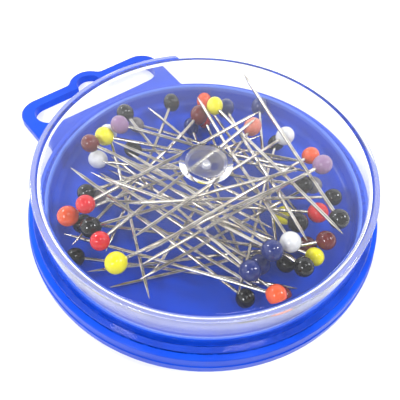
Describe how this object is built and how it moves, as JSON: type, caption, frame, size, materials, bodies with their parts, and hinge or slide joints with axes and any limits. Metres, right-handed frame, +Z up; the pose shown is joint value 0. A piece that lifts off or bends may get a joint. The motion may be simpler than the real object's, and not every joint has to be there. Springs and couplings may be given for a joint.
{
  "type": "pin box",
  "caption": "Low round pin box: a moulded base with a hang tab, a clear push-on lid, and glass-headed pins lying loose inside.",
  "frame": {"origin": "centre of the base's round underside, on the surface that it rests on", "axes": "+Z up through the lid, +Y out through the middle of the hang tab, +X to the right of the tab seen from above"},
  "size_m": [0.072, 0.0869, 0.0138],
  "materials": {
    "blue_plastic": "gloss",
    "clear_plastic": "gloss, clear",
    "pin_steel": "polished, nickel plated",
    "black_glass": "gloss, opaque",
    "dark_blue_glass": "gloss, opaque",
    "dark_red_glass": "gloss, opaque",
    "grey_glass": "gloss, opaque",
    "lilac_glass": "gloss, opaque",
    "orange_glass": "gloss, opaque",
    "red_glass": "gloss, opaque",
    "salmon_glass": "gloss, opaque",
    "white_glass": "gloss, opaque",
    "yellow_glass": "gloss, opaque"
  },
  "bodies": {
    "box": {"base": "blue_plastic", "black_pin_heads": "black_glass", "black_pin_shafts": "pin_steel", "dark_blue_pin_heads": "dark_blue_glass", "dark_blue_pin_shafts": "pin_steel", "dark_red_pin_heads": "dark_red_glass", "dark_red_pin_shafts": "pin_steel", "grey_pin_heads": "grey_glass", "grey_pin_shafts": "pin_steel", "lilac_pin_heads": "lilac_glass", "lilac_pin_shafts": "pin_steel", "orange_pin_heads": "orange_glass", "orange_pin_shafts": "pin_steel", "red_pin_heads": "red_glass", "red_pin_shafts": "pin_steel", "salmon_pin_heads": "salmon_glass", "salmon_pin_shafts": "pin_steel", "white_pin_heads": "white_glass", "white_pin_shafts": "pin_steel", "yellow_pin_heads": "yellow_glass", "yellow_pin_shafts": "pin_steel"},
    "lid": {"lid": "clear_plastic"}
  },
  "joints": [
    {"name": "lid_lift", "type": "slide", "parent": "box", "child": "lid", "axis": [0, 0, 1], "range_m": [0, 0.025]}
  ]
}
